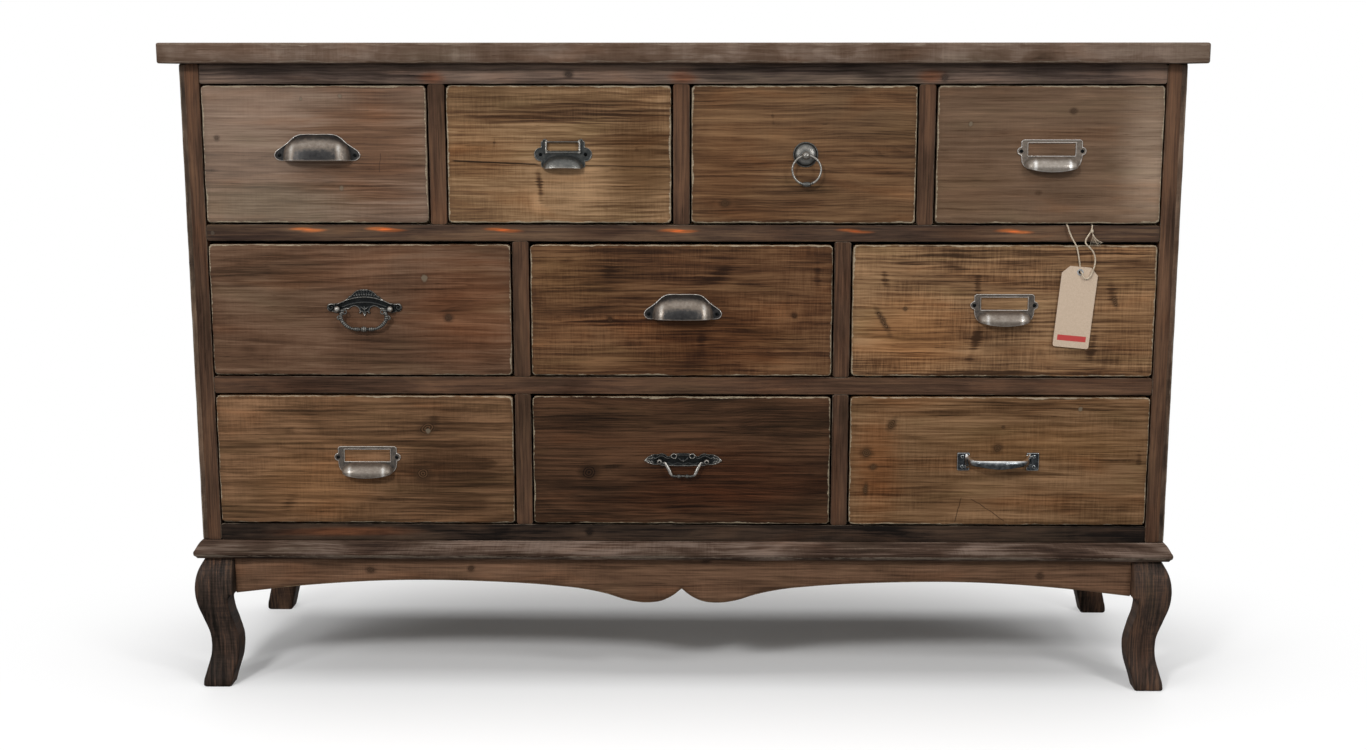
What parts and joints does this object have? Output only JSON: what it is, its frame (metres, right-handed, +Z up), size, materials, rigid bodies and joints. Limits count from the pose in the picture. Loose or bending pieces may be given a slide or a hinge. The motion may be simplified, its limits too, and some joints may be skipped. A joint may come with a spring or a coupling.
{
  "type": "chest of drawers",
  "caption": "Floor-standing wooden chest with three rows of sliding drawers, mixed metal pulls, a moulded base, a scalloped apron and sawn cabriole legs.",
  "frame": {"origin": "on the floor, at the middle of the chest's width and depth", "axes": "+X to the right seen from the front, +Y from the drawer fronts to the back, +Z up"},
  "size_m": [1.24, 0.408, 0.7985],
  "materials": {
    "stained_frame_wood": "dark walnut stain on reclaimed softwood, worn, dull satin",
    "stained_leg_wood": "dark walnut stain, rubbed through in bands",
    "plain_sheet_wood": "bare plywood sheet",
    "plain_pine": "bare pine",
    "drawer_1_wood": "stained grey-brown softwood, pale worn edges",
    "drawer_2_wood": "stained light tan softwood with a dark shake, pale worn edges",
    "drawer_3_wood": "stained brown softwood, pale worn edges",
    "drawer_4_wood": "stained grey-brown softwood, pale worn edges",
    "drawer_5_wood": "stained warm brown softwood, pale worn edges",
    "drawer_6_wood": "stained brown softwood with cross saw marks, pale worn edges",
    "drawer_7_wood": "stained golden tan softwood, pale worn edges",
    "drawer_8_wood": "stained brown softwood with knots, pale worn edges",
    "drawer_9_wood": "dark red-brown stained softwood, chipped edges",
    "drawer_10_wood": "stained light golden tan softwood, pale worn edges",
    "antique_pewter": "antique pewter with bronze wear, rubbed bright on its rims",
    "dark_cast_metal": "blackened casting, rubbed bright on its high edges",
    "polished_cast_metal": "bright polished casting, dark in its recesses",
    "screw_steel": "dull steel",
    "kraft_card": "uncoated kraft card",
    "eyelet_metal": "bright",
    "jute_twine": "coarse jute fibres"
  },
  "bodies": {
    "carcase": {"top_board": "stained_frame_wood", "left_side": "stained_frame_wood", "right_side": "stained_frame_wood", "face_stiles": "stained_frame_wood", "face_rails": "stained_frame_wood", "face_dividers": "stained_frame_wood", "bottom_board": "plain_pine", "back_panel": "plain_sheet_wood", "runner_frames": "plain_pine", "base_moulding": "stained_frame_wood", "front_apron": "stained_frame_wood", "side_and_rear_aprons": "stained_frame_wood", "legs": "stained_leg_wood"},
    "drawer_1": {"drawer_1_front": "drawer_1_wood", "drawer_1_box": "plain_pine", "drawer_1_pull": "antique_pewter", "drawer_1_fixings": "screw_steel"},
    "drawer_2": {"drawer_2_front": "drawer_2_wood", "drawer_2_box": "plain_pine", "drawer_2_pull": "antique_pewter", "drawer_2_fixings": "screw_steel"},
    "drawer_3": {"drawer_3_front": "drawer_3_wood", "drawer_3_box": "plain_pine", "drawer_3_pull": "dark_cast_metal", "drawer_3_fixings": "screw_steel"},
    "pull_ring": {"drawer_3_ring": "dark_cast_metal"},
    "drawer_4": {"drawer_4_front": "drawer_4_wood", "drawer_4_box": "plain_pine", "drawer_4_pull": "antique_pewter", "drawer_4_fixings": "screw_steel"},
    "drawer_5": {"drawer_5_front": "drawer_5_wood", "drawer_5_box": "plain_pine", "drawer_5_pull": "dark_cast_metal", "drawer_5_fixings": "screw_steel"},
    "arched_bail": {"drawer_5_bail": "dark_cast_metal"},
    "drawer_6": {"drawer_6_front": "drawer_6_wood", "drawer_6_box": "plain_pine", "drawer_6_pull": "antique_pewter", "drawer_6_fixings": "screw_steel"},
    "drawer_7": {"drawer_7_front": "drawer_7_wood", "drawer_7_box": "plain_pine", "drawer_7_pull": "antique_pewter", "drawer_7_fixings": "screw_steel", "hang_tag_card": "kraft_card", "hang_tag_eyelet": "eyelet_metal", "hang_tag_twine": "jute_twine", "hang_tag_tuft": "jute_twine"},
    "drawer_8": {"drawer_8_front": "drawer_8_wood", "drawer_8_box": "plain_pine", "drawer_8_pull": "antique_pewter", "drawer_8_fixings": "screw_steel"},
    "drawer_9": {"drawer_9_front": "drawer_9_wood", "drawer_9_box": "plain_pine", "drawer_9_pull": "dark_cast_metal", "drawer_9_fixings": "screw_steel"},
    "leaf_bail": {"drawer_9_bail": "dark_cast_metal"},
    "drawer_10": {"drawer_10_front": "drawer_10_wood", "drawer_10_box": "plain_pine", "drawer_10_pull": "polished_cast_metal", "drawer_10_fixings": "polished_cast_metal"}
  },
  "joints": [
    {"name": "drawer_1_slide", "type": "slide", "parent": "carcase", "child": "drawer_1", "axis": [0, -1, 0], "range_m": [0, 0.25]},
    {"name": "drawer_2_slide", "type": "slide", "parent": "carcase", "child": "drawer_2", "axis": [0, -1, 0], "range_m": [0, 0.25]},
    {"name": "drawer_3_slide", "type": "slide", "parent": "carcase", "child": "drawer_3", "axis": [0, -1, 0], "range_m": [0, 0.25]},
    {"name": "ring_swing", "type": "hinge", "parent": "drawer_3", "child": "pull_ring", "pos_m": [0.1496, -0.1875, 0.6655], "axis": [-1, 0, 0], "range_deg": [0, 95]},
    {"name": "drawer_4_slide", "type": "slide", "parent": "carcase", "child": "drawer_4", "axis": [0, -1, 0], "range_m": [0, 0.25]},
    {"name": "drawer_5_slide", "type": "slide", "parent": "carcase", "child": "drawer_5", "axis": [0, -1, 0], "range_m": [0, 0.25]},
    {"name": "arched_bail_swing", "type": "hinge", "parent": "drawer_5", "child": "arched_bail", "pos_m": [-0.3855, -0.1855, 0.4805], "axis": [-1, 0, 0], "range_deg": [0, 95]},
    {"name": "drawer_6_slide", "type": "slide", "parent": "carcase", "child": "drawer_6", "axis": [0, -1, 0], "range_m": [0, 0.25]},
    {"name": "drawer_7_slide", "type": "slide", "parent": "carcase", "child": "drawer_7", "axis": [0, -1, 0], "range_m": [0, 0.25]},
    {"name": "drawer_8_slide", "type": "slide", "parent": "carcase", "child": "drawer_8", "axis": [0, -1, 0], "range_m": [0, 0.25]},
    {"name": "drawer_9_slide", "type": "slide", "parent": "carcase", "child": "drawer_9", "axis": [0, -1, 0], "range_m": [0, 0.25]},
    {"name": "leaf_bail_swing", "type": "hinge", "parent": "drawer_9", "child": "leaf_bail", "pos_m": [0.0021, -0.185, 0.2928], "axis": [-1, 0, 0], "range_deg": [0, 95]},
    {"name": "drawer_10_slide", "type": "slide", "parent": "carcase", "child": "drawer_10", "axis": [0, -1, 0], "range_m": [0, 0.25]}
  ]
}
